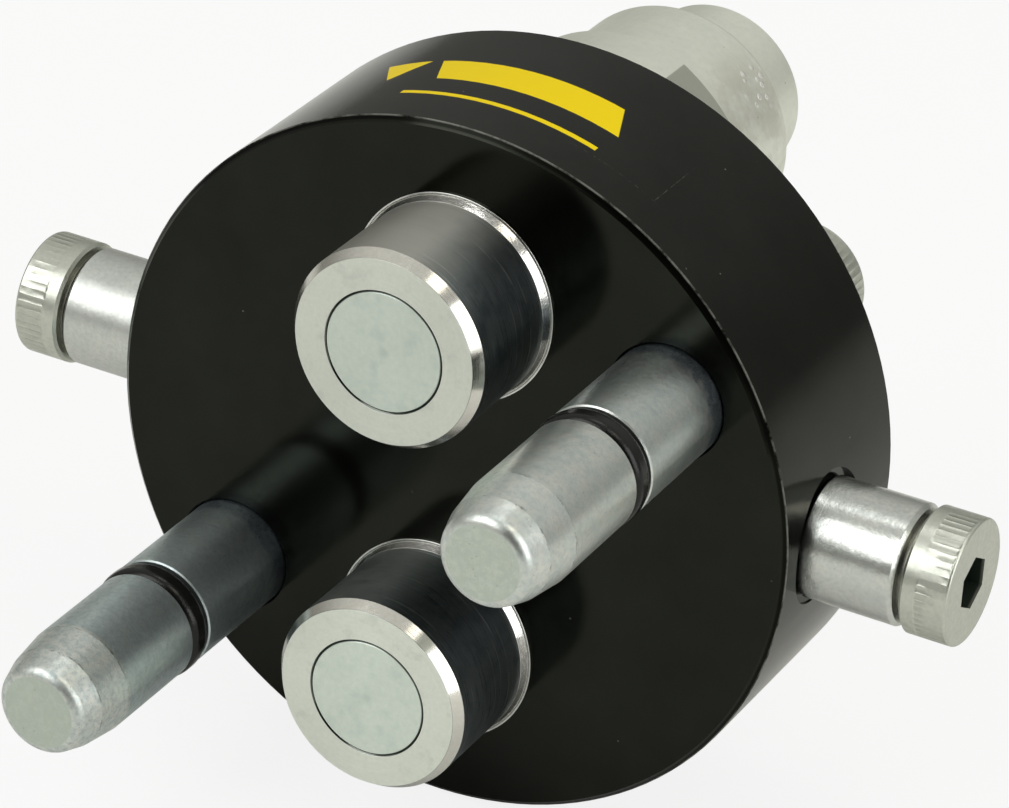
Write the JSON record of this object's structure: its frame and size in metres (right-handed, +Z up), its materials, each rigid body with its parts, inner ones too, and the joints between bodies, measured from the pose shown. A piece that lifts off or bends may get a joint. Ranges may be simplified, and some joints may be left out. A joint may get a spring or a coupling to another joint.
{
  "type": "hydraulic multi-coupling half",
  "caption": "Round plate with flat-faced hydraulic coupling noses, tapered guide pins, side rollers for the locking lever and rear hose ports.",
  "frame": {"origin": "centre of the plate's flat mating face", "axes": "-Y out of the mating face along the noses and guide pins, +Y to the hose ports, X along the side rollers, +Z up through the upper line"},
  "size_m": [0.106, 0.0938, 0.075],
  "materials": {
    "anodised_plate": "satin black anodised",
    "nose_steel": "fine turned, dark zinc plated",
    "valve_steel": "turned",
    "zinc_steel": "satin zinc plated",
    "adapter_steel": "satin zinc-nickel plated",
    "polished_steel": "polished",
    "spring_steel": "bright drawn",
    "guide_brass": "turned",
    "seal_rubber": "smooth black"
  },
  "bodies": {
    "plate_assembly": {"plate": "anodised_plate", "upper_coupling_body": "nose_steel", "upper_mouth_ring": "polished_steel", "upper_poppet_guide": "guide_brass", "upper_valve_spring": "spring_steel", "upper_snap_ring": "spring_steel", "upper_port_adapter": "adapter_steel", "upper_body_seal": "seal_rubber", "upper_adapter_seal": "seal_rubber", "lower_coupling_body": "nose_steel", "lower_mouth_ring": "polished_steel", "lower_poppet_guide": "guide_brass", "lower_valve_spring": "spring_steel", "lower_snap_ring": "spring_steel", "lower_port_adapter": "adapter_steel", "lower_body_seal": "seal_rubber", "lower_adapter_seal": "seal_rubber", "right_guide_pin": "zinc_steel", "right_pin_seal": "seal_rubber", "right_pin_screw": "zinc_steel", "right_pin_washer": "zinc_steel", "right_side_screw": "zinc_steel", "right_side_bush": "zinc_steel", "right_side_washer": "zinc_steel", "left_guide_pin": "zinc_steel", "left_pin_seal": "seal_rubber", "left_pin_screw": "zinc_steel", "left_pin_washer": "zinc_steel", "left_side_screw": "zinc_steel", "left_side_bush": "zinc_steel", "left_side_washer": "zinc_steel"},
    "upper_valve": {"upper_valve_poppet": "valve_steel", "upper_poppet_seal": "seal_rubber"},
    "lower_valve": {"lower_valve_poppet": "valve_steel", "lower_poppet_seal": "seal_rubber"},
    "right_roller": {"right_side_roller": "zinc_steel"},
    "left_roller": {"left_side_roller": "zinc_steel"}
  },
  "joints": [
    {"name": "upper_valve_slide", "type": "slide", "parent": "plate_assembly", "child": "upper_valve", "axis": [0, 1, 0], "range_m": [0, 0.007], "stiffness_N_per_m": 2500, "springref_m": -0.008, "deforming": ["upper_valve_spring"]},
    {"name": "lower_valve_slide", "type": "slide", "parent": "plate_assembly", "child": "lower_valve", "axis": [0, 1, 0], "range_m": [0, 0.007], "stiffness_N_per_m": 2500, "springref_m": -0.008, "deforming": ["lower_valve_spring"]},
    {"name": "right_roller_spin", "type": "hinge", "parent": "plate_assembly", "child": "right_roller", "pos_m": [0.04197, 0.0097, 0], "axis": [1, 0, 0], "continuous": true},
    {"name": "left_roller_spin", "type": "hinge", "parent": "plate_assembly", "child": "left_roller", "pos_m": [-0.04228, 0.0097, 0], "axis": [-1, 0, 0], "continuous": true}
  ]
}
